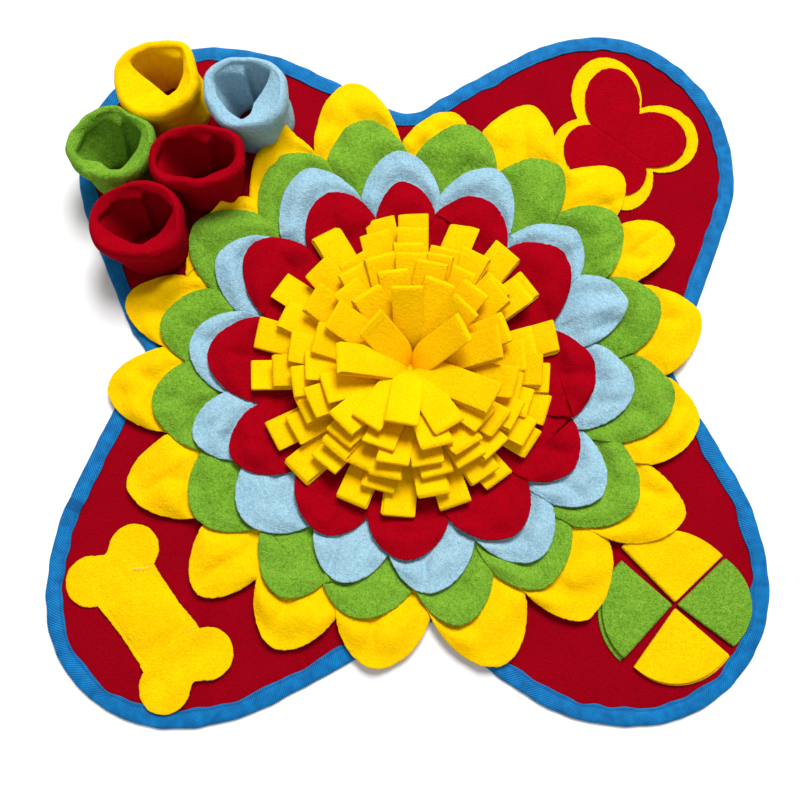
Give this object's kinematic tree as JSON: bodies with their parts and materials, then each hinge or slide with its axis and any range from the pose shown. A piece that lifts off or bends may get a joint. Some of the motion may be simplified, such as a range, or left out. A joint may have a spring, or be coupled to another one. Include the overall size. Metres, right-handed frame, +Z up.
{
  "type": "snuffle mat",
  "caption": "Lobed fleece foraging mat for a pet: sewn petals round a looped pompom, open cups, and flat bone, ball and butterfly pockets, edged with tape.",
  "frame": {"origin": "under the middle of the mat's outline, on the face it lies on", "axes": "+Z up out of the mat, +Y along its longer side towards the cups and the butterfly, +X to the right towards the ball and the butterfly"},
  "size_m": [0.671, 0.6946, 0.0682],
  "materials": {
    "red_fleece": "brushed pile, matt",
    "yellow_fleece": "brushed pile, matt",
    "green_fleece": "brushed pile, matt",
    "light_blue_fleece": "brushed pile, matt",
    "blue_tape": "twill weave, low sheen"
  },
  "bodies": {
    "root": {"base_mat": "red_fleece", "petals_red": "red_fleece", "cup_red_inner": "red_fleece", "cup_red_outer": "red_fleece", "butterfly_front": "red_fleece", "petals_yellow": "yellow_fleece", "pompom": "yellow_fleece", "cup_yellow": "yellow_fleece", "bone_end_upper": "yellow_fleece", "bone_middle": "yellow_fleece", "bone_end_lower": "yellow_fleece", "ball_top": "yellow_fleece", "ball_bottom": "yellow_fleece", "butterfly_back": "yellow_fleece", "petals_green": "green_fleece", "cup_green": "green_fleece", "ball_right": "green_fleece", "ball_left": "green_fleece", "petals_blue": "light_blue_fleece", "cup_blue": "light_blue_fleece", "edge_binding": "blue_tape"}
  },
  "joints": []
}
